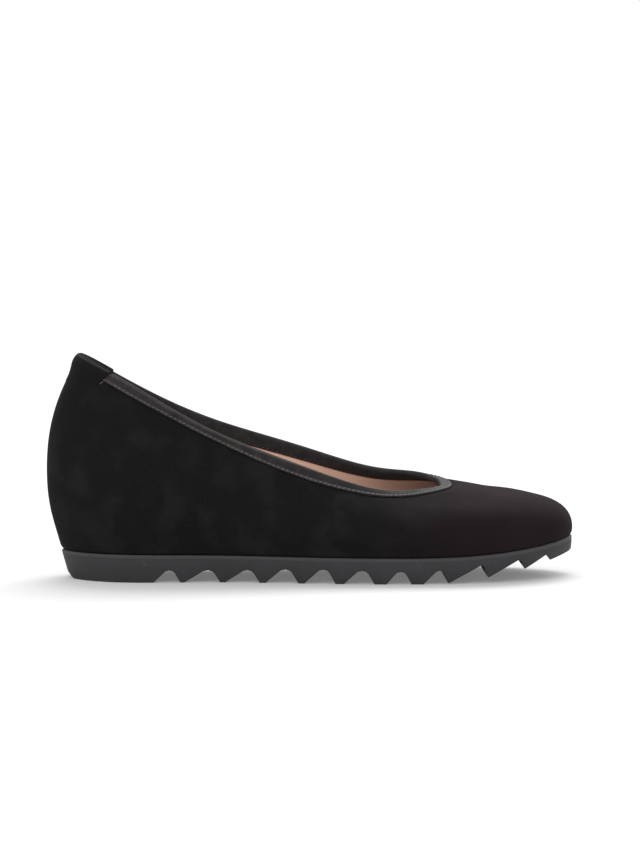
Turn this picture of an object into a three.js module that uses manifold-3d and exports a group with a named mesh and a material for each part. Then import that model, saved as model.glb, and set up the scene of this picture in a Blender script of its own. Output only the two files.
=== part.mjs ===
// A slip-on ballet flat for the right foot, with a low saw-toothed sole and a hidden wedge that lifts
// the heel. X runs from heel to toe, Y to the inner side of the foot and Z up from the floor.
// The upper, its edge binding and its heel tab are sheets laid on one surface: a ring of profiles,
// each of which falls from the topline over the widest line to the feather line, where the sole begins.
import * as THREE from "three";
import { mergeVertices } from "three/addons/utils/BufferGeometryUtils.js";
import Module from "manifold-3d";

// Driving sizes in millimetres
const length = 249.2; // rearmost swell of the heel to the tip of the toe
const ballWidth = 83; // across the upper at the ball of the foot
const backHeight = 105.2; // top edge of the upper at the back, above the floor
const throatHeight = 43.3; // top edge at the front of the opening
const soleHeight = 12.1; // upper edge of the sole above the floor
const soleHeelRise = 1.1; // how much higher that edge is at the heel
const heelRiseEnd = 160; // where it has come down
const soleToeRise = 6.9; // how much higher that edge is at the toe
const edgeRiseStart = 172; // where that edge starts to rise
const toeSpring = 12.8; // underside of the toe above the floor
const springStart = 174; // where the underside leaves the floor
const soleSideRound = 0.7; // bevel along the sole's upper edge
const toeCorner = 2.6; // round under the tip of the sole
const heelCorner = 2.2; // and under the back of the heel
const heelBlock = 50.5; // front edge of the flat heel, from the back of the form
const treadDepth = 6.2; // height of a notch
const firstNotch = 58; // peak of the rearmost notch, from the back of the form
const lastNotch = 15.2; // peak of the foremost one, back from the tip of the toe
const wall = 2.3; // suede and lining together
const bindingWidth = 6; // leather edge binding, outside
const bindingInside = 7.9; // and inside
const bindingLeather = 0.7; // its thickness
const bindingProud = 0.4; // how far it stands out from the suede, and from the lining inside
const tabReach = 34; // heel tab, measured round the widest line from the back of the heel
const tabFrontDepth = 8.4; // how far it comes down at its front edges
const tabBackDepth = 14.5; // and at the back of the heel
const tabInside = 11; // and inside the shoe
const tabLeather = 0.8;
const tabSlant = 0.65; // how far its front edges run back for each millimetre down
const insoleThickness = 3.2; // at the ball and toe
const wedgeHeight = 28; // what the hidden wedge adds under the heel
const seatEnd = 38; // front of the flat seat under the heel
const wedgeEnd = 168; // where the wedge has run out
const seatCup = 1.6; // how much higher the insole's edges are than its middle
const gap = 0.3; // between pieces that touch
const insoleClearance = 0.45; // between the insole's side and the wall

const ringColumns = 96; // columns of facets round the shoe
const wallRows = 10; // rows of facets down the wall, below the binding
const rowCrowding = 1.3; // above 1, the rows lie closer towards the feather line
const insoleRows = 6; // up the side of the insole
const crossRows = 5; // and across its top
const tabColumns = 14;
const profileSteps = 48; // samples down a profile, to measure depth along it
const edgeRisePower = 2.1; // how the sole's edge curves up to the toe
const springPower = 1.75; // and how its underside does

const halfBall = ballWidth / 2;

// Rows of named columns from rows of numbers
const table = (columns, rows) =>
  rows.map((row) => Object.fromEntries(columns.map((name, i) => [name, row[i]])));

// Nine sections from the back of the heel to the tip of the toe. The widest line: x as a share of the
// length, the sides as shares of half the ball width, the height as a share of the wall's. Tuck is how
// far the feather line lies in under it, and batter how far the sole's side leans in, in the same shares.
const widestLine = table(
  ["x", "lateral", "medial", "height", "tuck", "batter"],
  [
    [0.0, 0.0, 0.0, 0.42, 0.17, 0.09], // back of the heel
    [0.026, 0.39, 0.39, 0.41, 0.15, 0.08], // heel corner
    [0.113, 0.72, 0.71, 0.36, 0.1, 0.05], // heel side
    [0.302, 0.775, 0.71, 0.32, 0.095, 0.04], // waist
    [0.504, 0.94, 0.8, 0.3, 0.085, 0.035], // behind the ball
    [0.665, 1.03, 0.96, 0.28, 0.075, 0.03], // ball
    [0.819, 0.94, 0.97, 0.28, 0.055, 0.03], // toe side
    [0.935, 0.61, 0.72, 0.24, 0.035, 0.02], // toe corner
    [1.0, -0.1, 0.1, 0.17, 0.015, 0.01], // toe tip
  ],
);

// The same nine profiles at the topline. Rise is a share of the way from the throat's height to the
// back's. The wall leaves the topline at a lean, in degrees below level, and its curve is drawn out
// from the topline and up from the widest line by shares of the distance between the two. Fold is
// the binding's width outside, in shares of the width named above.
const topline = table(
  ["x", "lateral", "medial", "lateralRise", "medialRise", "lean", "out", "up", "fold"],
  [
    [0.064, 0.0, 0.0, 1.0, 1.0, 60, 0.34, 0.43, 0.85], // back of the heel
    [0.082, 0.25, 0.25, 0.965, 0.96, 65, 0.33, 0.4, 0.85],
    [0.153, 0.51, 0.49, 0.815, 0.79, 76, 0.33, 0.35, 0.95],
    [0.306, 0.65, 0.62, 0.471, 0.495, 78, 0.33, 0.34, 0.8],
    [0.484, 0.67, 0.64, 0.187, 0.27, 66, 0.33, 0.36, 1.25],
    [0.613, 0.58, 0.57, 0.013, 0.115, 44, 0.37, 0.36, 1.08],
    [0.694, 0.385, 0.4, -0.012, 0.08, 24, 0.48, 0.32, 1],
    [0.733, 0.17, 0.22, -0.008, 0.04, 10, 0.56, 0.27, 1],
    [0.744, -0.04, 0.04, 0.0, 0.0, 5, 0.6, 0.24, 1], // front of the opening
  ],
);

// The notches of the tread from heel to toe. In shares of the pitch: spacing from the peak before, tip
// from the peak to the tooth in front of it, and flat along that tooth's tip. Depth is a share of the
// tread's depth.
const notches = table(
  ["spacing", "depth", "tip", "flat"],
  [
    [0, 0.93, 0.28, 0.1],
    [1, 0.93, 0.32, 0.12],
    [1.03, 0.95, 0.31, 0.15],
    [0.98, 1.05, 0.33, 0.15],
    [0.98, 1.08, 0.31, 0.21],
    [1, 1.02, 0.32, 0.3],
    [1, 0.95, 0.28, 0.3],
    [1, 0.98, 0.22, 0.05],
    [1.1, 1, 0.17, 0.04],
    [1, 0.8, 0.15, 0.03],
    [0.74, 0.5, 0.12, 0.03],
  ],
);

// Mean distance from notch to notch
const spacings = notches.reduce((sum, notch) => sum + notch.spacing, 0);
const treadPitch = (length - lastNotch - firstNotch) / spacings;

// The round of a notch at its peak: shares of the way to the tip of the next tooth, and of the depth
const notchRound = table(
  ["along", "depth"],
  [
    [-0.38, 0.93],
    [0, 1],
    [0.3, 0.94],
    [0.5, 0.76],
  ],
);

const clamp01 = (value) => Math.min(1, Math.max(0, value));
const smooth = (value) => clamp01(value) ** 2 * (3 - 2 * clamp01(value));

// Heights along the shoe: the sole's upper edge, its underside and the insole's top
const toeShare = (x, start) => clamp01((x - start) / (length - start));
const soleTop = (x) => {
  const heelRise = soleHeelRise * (1 - smooth(x / heelRiseEnd));
  return soleHeight + heelRise + soleToeRise * toeShare(x, edgeRiseStart) ** edgeRisePower;
};
const underside = (x) => toeSpring * toeShare(x, springStart) ** springPower;
const bed = (x) => {
  const wedge = wedgeHeight * (1 - smooth((x - seatEnd) / (wedgeEnd - seatEnd)));
  return soleTop(x) + gap + insoleThickness + wedge;
};

// A closed curve through values at knots from 0 to 1: a cubic spline whose slopes settle in sweeps
function closedSpline(knots, values) {
  const settlingSweeps = 60;
  const count = values.length;
  const step = (i) => (knots[(i + 1) % count] - knots[i] + 1) % 1;
  const slopes = values.map(() => 0);
  for (let sweep = 0; sweep < settlingSweeps; sweep++)
    for (let i = 0; i < count; i++) {
      const before = (i + count - 1) % count;
      const after = (i + 1) % count;
      const left = 1 / step(before);
      const right = 1 / step(i);
      const climbBefore = (values[i] - values[before]) * left ** 2;
      const climbAfter = (values[after] - values[i]) * right ** 2;
      const pull = 3 * (climbBefore + climbAfter);
      slopes[i] = (pull - slopes[before] * left - slopes[after] * right) / (2 * (left + right));
    }
  return (u) => {
    const place = ((u % 1) + 1) % 1;
    const i = knots.findLastIndex((knot) => knot <= place);
    const t = (place - knots[i]) / step(i);
    const chord = values[(i + 1) % count] - values[i];
    const start = slopes[i] * step(i);
    const end = slopes[(i + 1) % count] * step(i);
    return values[i] + t * (start + t * (3 * chord - 2 * start - end + t * (start + end - 2 * chord)));
  };
}

// The ring runs from the back of the heel along the outer side to the toe, at a half, and back along
// the inner side. Its knots are the same on both sides, spaced as the sections are along the outline.
const last = widestLine.length - 1;
const sections = [...widestLine.keys(), ...[...widestLine.keys()].slice(1, last).reverse()];
const isLateral = (i) => i < last;
const meanWidth = (row) => (widestLine[row].lateral + widestLine[row].medial) / 2;
function chord(row) {
  const alongX = (widestLine[row].x - widestLine[row - 1].x) * length;
  const alongY = (meanWidth(row) - meanWidth(row - 1)) * halfBall;
  return Math.hypot(alongX, alongY);
}
const reached = [0];
for (let row = 1; row <= last; row++) reached.push(reached[row - 1] + chord(row));
const ringLength = 2 * reached[last];
const knots = sections.map((row, i) => (i <= last ? reached[row] : ringLength - reached[row]) / ringLength);
const round = (valueOf) => closedSpline(knots, sections.map(valueOf));
const sideOf = (row, i) => (isLateral(i) ? -row.lateral : row.medial) * halfBall;

// Unit inward directions in plan at the sections, from the mean of both sides, so that a place on one
// side keeps the same x as its mirror on the other
const meanX = round((row) => widestLine[row].x * length);
const meanY = round((row, i) => meanWidth(row) * halfBall * (isLateral(i) ? -1 : 1));
const inward = knots.map((knot) => {
  const nudge = 1e-4;
  const alongX = meanX(knot + nudge) - meanX(knot - nudge);
  const alongY = meanY(knot + nudge) - meanY(knot - nudge);
  return new THREE.Vector2(-alongY, alongX).normalize();
});

// An outline in plan, set in from the widest line by what insetOf says of each section
function outline(insetOf) {
  const x = round((row, i) => widestLine[row].x * length + insetOf(widestLine[row]) * inward[i].x);
  const y = round((row, i) => sideOf(widestLine[row], i) + insetOf(widestLine[row]) * inward[i].y);
  return (u) => new THREE.Vector2(x(u), y(u));
}
const widestPlan = outline(() => 0);
const featherPlan = outline((row) => row.tuck * halfBall);
const treadPlan = outline((row) => (row.tuck + row.batter) * halfBall);
const toplineX = round((row) => topline[row].x * length);
const toplineY = round((row, i) => sideOf(topline[row], i));
const rise = round((row, i) => (isLateral(i) ? topline[row].lateralRise : topline[row].medialRise));
const widestShare = round((row) => widestLine[row].height);
const lean = round((row) => THREE.MathUtils.degToRad(topline[row].lean));
const outShare = round((row) => topline[row].out);
const upShare = round((row) => topline[row].up);
const foldShare = round((row) => topline[row].fold);

const onPlan = (plan, height) => new THREE.Vector3(plan.x, plan.y, height);

// One profile of the form from topline to feather line, as a polyline that knows its length
function profile(u) {
  const topHeight = THREE.MathUtils.lerp(throatHeight, backHeight, rise(u));
  const top = new THREE.Vector3(toplineX(u), toplineY(u), topHeight);
  const foot = onPlan(featherPlan(u), soleTop(featherPlan(u).x) + gap);
  const widest = onPlan(widestPlan(u), THREE.MathUtils.lerp(foot.z, top.z, widestShare(u)));
  const reach = top.distanceTo(widest);
  const outward = new THREE.Vector3(widest.x - top.x, widest.y - top.y, 0).normalize();
  const leaving = outward.multiplyScalar(Math.cos(lean(u))).setZ(-Math.sin(lean(u)));
  const drop = (widest.z - foot.z) / 2;
  const soleSide = foot.clone().sub(onPlan(treadPlan(u), 0)).normalize();
  const upper = new THREE.CubicBezierCurve3(
    top,
    top.clone().addScaledVector(leaving, outShare(u) * reach),
    widest.clone().setZ(widest.z + upShare(u) * reach),
    widest,
  );
  const lower = new THREE.CubicBezierCurve3(
    widest,
    widest.clone().setZ(widest.z - drop),
    foot.clone().addScaledVector(soleSide, drop),
    foot,
  );
  const points = [...upper.getPoints(profileSteps), ...lower.getPoints(profileSteps / 2).slice(1)];
  const depths = [0];
  for (let i = 1; i < points.length; i++) depths.push(depths[i - 1] + points[i].distanceTo(points[i - 1]));
  return { points, depths, full: depths.at(-1) };
}

// A point of the form at a depth below the topline, measured along its profile
function formPoint({ points, depths }, depth) {
  const after = depths.findIndex((reachedDepth) => reachedDepth > depth);
  const i = after < 0 ? depths.length - 1 : Math.max(1, after);
  const share = (depth - depths[i - 1]) / (depths[i] - depths[i - 1]);
  return points[i - 1].clone().lerp(points[i], share);
}

// The form at one place round the ring: at(depth, offset) gives a point that stands off from it,
// outwards where the offset is positive
function station(u) {
  const nudge = 1e-3;
  const here = profile(u);
  const before = profile(u - nudge);
  const after = profile(u + nudge);
  const depthNudge = 0.4;
  return {
    full: here.full,
    fold: foldShare(u) * bindingWidth,
    at(depth, offset) {
      const across = formPoint(after, depth).sub(formPoint(before, depth));
      const down = formPoint(here, depth + depthNudge).sub(formPoint(here, depth - depthNudge));
      const normal = down.cross(across).normalize();
      return formPoint(here, depth).addScaledVector(normal, offset);
    },
  };
}
const stations = Array.from({ length: ringColumns }, (_, i) => station(i / ringColumns));

// A mesh from points and triangles of their numbers
function surface(points, faces) {
  const corners = faces.flat().flatMap((corner) => points[corner].toArray());
  const geometry = new THREE.BufferGeometry();
  geometry.setAttribute("position", new THREE.Float32BufferAttribute(corners, 3));
  return geometry;
}

// Both triangles of a face with four corners
const quad = (a, b, c, d) => [
  [a, b, c],
  [a, c, d],
];

// A sheet of material: columns of points of its outer face and of its inner face, which run down the
// same rows. It closes on itself round the shoe, or else it has two ends.
function sheet(outer, inner, closed) {
  const rows = outer[0].length;
  const points = [...outer.flat(), ...inner.flat()];
  const out = (column, row) => (column % outer.length) * rows + row;
  const inn = (column, row) => outer.length * rows + out(column, row);
  const faces = [];
  for (let column = 0; column < outer.length - (closed ? 0 : 1); column++) {
    const next = column + 1;
    for (let row = 0; row < rows - 1; row++) {
      faces.push(...quad(out(column, row), out(column, row + 1), out(next, row + 1), out(next, row)));
      faces.push(...quad(inn(column, row), inn(next, row), inn(next, row + 1), inn(column, row + 1)));
    }
    faces.push(...quad(out(column, 0), out(next, 0), inn(next, 0), inn(column, 0)));
    const edge = rows - 1;
    faces.push(...quad(out(column, edge), inn(column, edge), inn(next, edge), out(next, edge)));
  }
  if (!closed)
    for (let row = 0; row < rows - 1; row++) {
      const end = outer.length - 1;
      faces.push(...quad(out(0, row), inn(0, row), inn(0, row + 1), out(0, row + 1)));
      faces.push(...quad(out(end, row), out(end, row + 1), inn(end, row + 1), inn(end, row)));
    }
  return surface(points, faces);
}

// A slab of material: rings of points from its underside to its top, with its top and underside
// bridged between each point and its mirror. Dish lowers the middle of the top.
function slab(rings, bridges, dish) {
  const count = rings[0].length;
  const half = count / 2;
  const points = rings.flat();
  const faces = [];
  for (let level = 0; level < rings.length - 1; level++)
    for (let i = 0; i < count; i++) {
      const low = level * count;
      const high = low + count;
      const next = (i + 1) % count;
      faces.push(...quad(low + i, low + next, high + next, high + i));
    }
  for (const isTop of [false, true]) {
    const ringStart = isTop ? (rings.length - 1) * count : 0;
    const grid = [];
    for (let i = 1; i < half; i++) {
      const outerEdge = points[ringStart + i];
      const innerEdge = points[ringStart + count - i];
      const line = [ringStart + i];
      for (let k = 1; k < bridges; k++) {
        const share = k / bridges;
        const middle = outerEdge.clone().lerp(innerEdge, share);
        if (isTop) middle.z -= dish * (1 - (2 * share - 1) ** 2);
        line.push(points.push(middle) - 1);
      }
      grid.push([...line, ringStart + count - i]);
    }
    const capFaces = [];
    for (let k = 0; k < bridges; k++) {
      capFaces.push([ringStart, grid[0][k], grid[0][k + 1]]);
      capFaces.push([ringStart + half, grid.at(-1)[k + 1], grid.at(-1)[k]]);
      for (let i = 0; i < grid.length - 1; i++)
        capFaces.push(...quad(grid[i][k], grid[i + 1][k], grid[i + 1][k + 1], grid[i][k + 1]));
    }
    faces.push(...(isTop ? capFaces : capFaces.map((face) => face.toReversed())));
  }
  return surface(points, faces);
}

// Upper: one wall, pared down on both faces where the binding is folded over its edge
const pared = bindingLeather + gap - bindingProud; // taken off each face there
const rimDepth = bindingLeather + gap; // the upper's own edge, inside the fold
function wallFace(place, foldWidth, faceOffset, paredOffset) {
  const paredEnd = foldWidth + gap;
  const paredDepths = [rimDepth, (rimDepth + paredEnd) / 2, paredEnd];
  const column = paredDepths.map((depth) => place.at(depth, paredOffset));
  for (let row = 0; row <= wallRows; row++) {
    const share = (1 - row / wallRows) ** rowCrowding;
    column.push(place.at(THREE.MathUtils.lerp(place.full, paredEnd, share), faceOffset));
  }
  const foot = column.at(-1);
  foot.z = soleTop(foot.x) + gap;
  return column;
}
function upper() {
  const outside = stations.map((place) => wallFace(place, place.fold, 0, -pared));
  const inside = stations.map((place) => wallFace(place, bindingInside, -wall, pared - wall));
  return sheet(outside, inside, true);
}

// A strip folded over the edge of the wall, as depth and offset of both its faces, from its inner
// edge over the crown to its outer edge
function foldedStrip(outerDepth, innerDepth, { outerOffset, innerOffset, crown, leather }) {
  const arcSteps = 4;
  const middle = (outerOffset + innerOffset) / 2;
  const radius = (outerOffset - innerOffset) / 2;
  const rows = [{ depth: innerDepth, outside: innerOffset, inside: innerOffset + leather }];
  for (let i = arcSteps; i >= 0; i--) {
    const angle = (Math.PI * i) / arcSteps;
    rows.push({
      depth: crown + radius * (1 - Math.sin(angle)),
      insideDepth: crown + leather + (radius - leather) * (1 - Math.sin(angle)),
      outside: middle + radius * Math.cos(angle),
      inside: middle + (radius - leather) * Math.cos(angle),
    });
  }
  rows.push({ depth: outerDepth, outside: outerOffset, inside: outerOffset - leather });
  return rows;
}

// Both faces of a strip at one place round the shoe, which may change with the depth
const stripFaces = (placeAt, rows) => ({
  outer: rows.map((row) => placeAt(row.depth).at(row.depth, row.outside)),
  inner: rows.map((row) => {
    const depth = row.insideDepth ?? row.depth;
    return placeAt(depth).at(depth, row.inside);
  }),
});

// Binding: smooth leather folded over the whole topline
const bindingFold = {
  outerOffset: bindingProud,
  innerOffset: -wall - bindingProud,
  crown: 0,
  leather: bindingLeather,
};
function toplineBinding() {
  const faces = stations.map((place) =>
    stripFaces(() => place, foldedStrip(place.fold, bindingInside, bindingFold)),
  );
  return sheet(faces.map((face) => face.outer), faces.map((face) => face.inner), true);
}

// Heel tab: suede folded over the binding at the back of the heel, down onto the suede below it
function heelTab() {
  const standOff = gap + tabLeather;
  const tabFold = {
    outerOffset: bindingFold.outerOffset + standOff,
    innerOffset: bindingFold.innerOffset - standOff,
    crown: -standOff,
    leather: tabLeather,
  };
  const columns = Array.from({ length: tabColumns + 1 }, (_, i) => (2 * i) / tabColumns - 1);
  const faces = columns.map((share) => {
    const placeAt = (depth) => station((share * (tabReach - tabSlant * Math.max(0, depth))) / ringLength);
    const stepDepth = placeAt(0).fold + tabLeather + gap;
    const insideStep = bindingInside + tabLeather + gap;
    const edgeDepth = THREE.MathUtils.lerp(tabBackDepth, tabFrontDepth, Math.abs(share));
    const onWall = { outside: standOff, inside: gap };
    const onLining = { outside: -wall - standOff, inside: -wall - gap };
    const rows = [
      { depth: tabInside, ...onLining },
      { depth: insideStep, ...onLining },
      ...foldedStrip(placeAt(0).fold, bindingInside, tabFold),
      { depth: stepDepth, ...onWall },
      { depth: edgeDepth, ...onWall },
    ];
    return stripFaces(placeAt, rows);
  });
  return sheet(faces.map((face) => face.outer), faces.map((face) => face.inner), false);
}

// Insole: its side follows the inside of the wall, up to the edge of the bed
function insole() {
  const offset = -wall - insoleClearance;
  const searchSteps = 60;
  const heightAt = (x, share) => THREE.MathUtils.lerp(soleTop(x) + gap, bed(x) + seatCup, share);
  const sideAt = (place, share) => {
    const above = (point) => point.z - heightAt(point.x, share);
    let low = place.at(place.full, offset);
    if (above(low) >= 0) return low.setZ(heightAt(low.x, share));
    for (let i = searchSteps - 1; i >= 0; i--) {
      const high = place.at((place.full * i) / searchSteps, offset);
      if (above(high) >= 0) return low.lerp(high, above(low) / (above(low) - above(high)));
      low = high;
    }
    return low;
  };
  const rings = [];
  for (let row = 0; row <= insoleRows; row++)
    rings.push(stations.map((place) => sideAt(place, row / insoleRows)));
  return slab(rings, crossRows, seatCup);
}

// Solids for cutting and joining
const wasm = await Module();
wasm.setup();
function solid(geometry) {
  const bare = geometry.index ? geometry.toNonIndexed() : geometry.clone();
  bare.deleteAttribute("normal");
  bare.deleteAttribute("uv");
  const sameCorner = 1e-4;
  const merged = mergeVertices(bare, sameCorner);
  const mesh = new wasm.Mesh({
    numProp: 3,
    vertProperties: new Float32Array(merged.attributes.position.array),
    triVerts: new Uint32Array(merged.index.array),
  });
  mesh.merge();
  return new wasm.Manifold(mesh);
}
function geometryOf(body) {
  const mesh = body.getMesh();
  const geometry = new THREE.BufferGeometry();
  geometry.setAttribute("position", new THREE.BufferAttribute(mesh.vertProperties, 3));
  geometry.setIndex(new THREE.BufferAttribute(mesh.triVerts, 1));
  return geometry.toNonIndexed();
}

// The underside's line from heel to toe: flat heel block, notches and the round of the toe
function treadLine() {
  const heelBack = treadPlan(0).x;
  const line = [
    [heelBack - heelCorner, 2 * heelCorner],
    [heelBack, heelCorner],
    [heelBack + heelCorner, 0],
    [heelBlock, 0],
  ];
  const along = (x, rise) => line.push([x, underside(x) + rise]);
  let peak = firstNotch;
  for (const notch of notches) {
    peak += notch.spacing * treadPitch;
    const tip = peak + notch.tip * treadPitch;
    for (const place of notchRound)
      along(THREE.MathUtils.lerp(peak, tip, place.along), place.depth * notch.depth * treadDepth);
    along(tip, 0);
    along(tip + notch.flat * treadPitch, 0);
  }
  const corner = treadPlan(0.5).x - toeCorner;
  along(corner, 0);
  const arcSteps = 4;
  const centre = underside(corner) + toeCorner;
  for (let i = 1; i <= arcSteps; i++) {
    const angle = (Math.PI / 2) * (i / arcSteps);
    line.push([corner + toeCorner * Math.sin(angle), centre - toeCorner * Math.cos(angle)]);
  }
  line.push([length, centre]);
  return line;
}

// Outsole: a block in the shape of its outline, with everything under the line of its tread cut away
function outsole() {
  const below = 8; // depth of the block under the floor, all of it cut away
  const edge = (u, inset, drop) => {
    const feather = featherPlan(u);
    const tread = treadPlan(u);
    const height = soleTop(feather.x);
    const share = drop / height;
    const plan = feather.clone().lerp(tread, share);
    const inwards = tread.clone().sub(feather).normalize();
    plan.addScaledVector(inwards, inset);
    return onPlan(plan, height - drop);
  };
  const places = Array.from({ length: ringColumns }, (_, i) => i / ringColumns);
  const block = slab(
    [
      places.map((u) => edge(u, 0, soleTop(featherPlan(u).x) + below)),
      places.map((u) => edge(u, 0, soleSideRound)),
      places.map((u) => edge(u, soleSideRound, 0)),
    ],
    1,
    0,
  );
  const line = treadLine();
  const overrun = 20;
  const around = [
    [-overrun, line[0][1]],
    [-overrun, -overrun],
    [length + overrun, -overrun],
    [length + overrun, line.at(-1)[1]],
  ];
  const cutter = new THREE.Shape([...around, ...line.toReversed()].map(([x, z]) => new THREE.Vector2(x, z)));
  const cut = new THREE.ExtrudeGeometry(cutter, { depth: 2 * ballWidth, bevelEnabled: false });
  cut.rotateX(Math.PI / 2).translate(0, ballWidth, 0);
  return geometryOf(solid(block).subtract(solid(cut)));
}

const suede = { color: 0x1c1a1c, roughness: 0.95, metalness: 0 };
const leather = { color: 0x2b2729, roughness: 0.42, metalness: 0 };
const moulded = { color: 0x3b3a3b, roughness: 0.7, metalness: 0 };
const lining = { color: 0xc39a86, roughness: 0.6, metalness: 0 };

const pieces = [
  ["outsole", outsole(), moulded],
  ["upper", upper(), suede],
  ["insole", insole(), lining],
  ["topline_binding", toplineBinding(), leather],
  ["heel_tab", heelTab(), suede],
];

const group = new THREE.Group();
for (const [name, geometry, finish] of pieces) {
  geometry.computeVertexNormals();
  const mesh = new THREE.Mesh(geometry, new THREE.MeshStandardMaterial(finish));
  mesh.name = name;
  group.add(mesh);
}

// The origin is on the floor under the middle of the shoe
const box = new THREE.Box3().setFromObject(group);
const middle = box.getCenter(new THREE.Vector3());
for (const mesh of group.children) mesh.geometry.translate(-middle.x, -middle.y, -box.min.z);

export default group;
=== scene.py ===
# %% [markdown]
# A slip-on ballet flat
# The shoe is a black suede upper with a smooth leather binding folded over its edge, a folded suede tab
# at the back of the heel, a pale leather lining and a low moulded sole with a saw-toothed tread.
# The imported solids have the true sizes. This lesson copies each of them, makes the copy soft and
# finished, and dresses it. Lengths below are in millimetres and become metres where they are used.

import math

import bmesh
import bpy
from mathutils import Matrix, Vector
from mathutils.bvhtree import BVHTree
from mathutils.kdtree import KDTree


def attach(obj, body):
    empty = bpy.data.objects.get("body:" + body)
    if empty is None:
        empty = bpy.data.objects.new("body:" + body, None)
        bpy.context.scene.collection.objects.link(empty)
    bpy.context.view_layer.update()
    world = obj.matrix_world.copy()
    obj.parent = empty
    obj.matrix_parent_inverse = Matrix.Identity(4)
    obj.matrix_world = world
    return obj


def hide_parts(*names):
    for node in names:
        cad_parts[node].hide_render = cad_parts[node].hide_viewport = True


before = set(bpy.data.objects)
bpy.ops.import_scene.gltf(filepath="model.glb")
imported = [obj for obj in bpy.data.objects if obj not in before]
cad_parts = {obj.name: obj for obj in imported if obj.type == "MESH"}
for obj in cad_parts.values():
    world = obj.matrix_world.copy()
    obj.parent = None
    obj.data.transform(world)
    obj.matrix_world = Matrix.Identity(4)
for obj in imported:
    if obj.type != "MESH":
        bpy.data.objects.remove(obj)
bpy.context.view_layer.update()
MM = 0.001

# %% [markdown]
# The camera
# The photograph shows the outer side, from a little above the floor and a little behind the middle of
# the shoe. Two metres away is a guess: a long lens at that distance keeps the sole's lines nearly
# straight, as they are in the photograph. The lens comes from the size of the view and the distance to
# the shoe.

# %% Place the camera
aim = Vector((4.4, 0.0, 70.4)) * MM
distance = 2.0
elevation = math.radians(4.6)
azimuth = math.radians(-2.0)
view_height = 402.2 * MM
sensor = 36.0

camera = bpy.data.cameras.new("camera")
camera.sensor_fit = "VERTICAL"
camera.sensor_height = sensor
camera.lens = sensor * distance / view_height
camera.clip_end = 50.0
camera_object = bpy.data.objects.new("camera", camera)
bpy.context.scene.collection.objects.link(camera_object)
level = math.cos(elevation)
direction = Vector((math.sin(azimuth) * level, -math.cos(azimuth) * level, math.sin(elevation)))
camera_object.location = aim + distance * direction
camera_object.rotation_euler = (-direction).to_track_quat("-Z", "Y").to_euler()
bpy.context.scene.camera = camera_object
print("the lens is", round(camera.lens, 1), "mm")

# %% [markdown]
# Copying a solid
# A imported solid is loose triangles, and it must stay as it is, because the physics uses it. A copy is
# merged at its corners and its triangles are joined to quads in pairs, since a subdivision surface
# flows evenly over quads and puckers over triangles.


# %% A helper that copies a solid as quads
merge_distance = 0.002 * MM


def copy_of(node):
    bm = bmesh.new()
    bm.from_mesh(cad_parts[node].data)
    bmesh.ops.remove_doubles(bm, verts=bm.verts, dist=merge_distance)
    bmesh.ops.join_triangles(
        bm,
        faces=bm.faces,
        angle_face_threshold=math.radians(180),
        angle_shape_threshold=math.radians(180),
        topology_influence=2,
    )
    bm.normal_update()
    quads = sum(len(face.verts) == 4 for face in bm.faces)
    print(node, "copied with", len(bm.faces), "faces, of which", quads, "have four corners")
    return bm


# %% [markdown]
# From a copy to a piece
# Each finished piece is an object at the origin with its place in its mesh. A Subdivision modifier
# rounds the facets, and it is applied at once, because creases are pressed into the fine mesh after it.


# %% Helpers that make a piece and round it
def piece_from(bm, name, slot, *nodes):
    mesh = bpy.data.meshes.new(name)
    bm.to_mesh(mesh)
    bm.free()
    piece = bpy.data.objects.new(name, mesh)
    bpy.context.scene.collection.objects.link(piece)
    for polygon in mesh.polygons:
        polygon.use_smooth = True
    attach(piece, "root")
    if nodes:
        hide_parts(*nodes)
    return piece


def applied(piece):
    """Replaces the piece's mesh by what its modifiers make of it."""
    graph = bpy.context.evaluated_depsgraph_get()
    mesh = bpy.data.meshes.new_from_object(piece.evaluated_get(graph))
    piece.modifiers.clear()
    piece.data = mesh
    print(piece.name, "has", sum(len(face.vertices) - 2 for face in mesh.polygons), "triangles")
    return piece


def keep_sharp(bm, angle, amount):
    """Marks edges that bend by more than an angle, so that rounding leaves them tighter."""
    crease = bm.edges.layers.float.new("crease_edge")
    for edge in bm.edges:
        if edge.calc_face_angle(0) > math.radians(angle):
            edge[crease] = amount


def rounded(piece, levels):
    subdivision = piece.modifiers.new("round", "SUBSURF")
    subdivision.levels = levels
    subdivision.render_levels = levels
    return applied(piece)


# %% [markdown]
# Inside or outside
# The wall has an outer face of suede and an inner face of lining. A line through the middle of the
# foot, from the heel to the toes, tells them apart: a short ray that leaves an inner face away from
# that line has to pass through the wall, and a ray that leaves an outer face meets nothing.

# %% A helper that splits the wall into its outer and inner faces
foot_line_start = Vector((-85, 0, 55)) * MM
foot_line_end = Vector((95, 0, 28)) * MM
ray_start = 0.3
ray_reach = 6
ledge_area = 4


def away_from_foot(point):
    """The direction and distance in which a point lies away from the middle of the foot."""
    line = foot_line_end - foot_line_start
    share = (point - foot_line_start).dot(line) / line.length_squared
    return point - foot_line_start - line * min(1, max(0, share))


def faces_outside(bm):
    """The faces whose rays are free. A narrow ledge under the binding goes with the face beside it."""
    tree = BVHTree.FromBMesh(bm)
    outside = set()
    for face in bm.faces:
        start = face.calc_center_median() + face.normal * ray_start * MM
        away = away_from_foot(start).normalized()
        if tree.ray_cast(start, away, ray_reach * MM)[0] is None:
            outside.add(face)
    for ledge in bm.faces:
        if ledge.calc_area() < ledge_area * MM * MM:
            long_side = max(ledge.edges, key=lambda edge: edge.calc_length())
            if outside & set(long_side.link_faces) - {ledge}:
                outside.add(ledge)
    print(len(outside), "of", len(bm.faces), "faces lie outside")
    return outside


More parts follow.
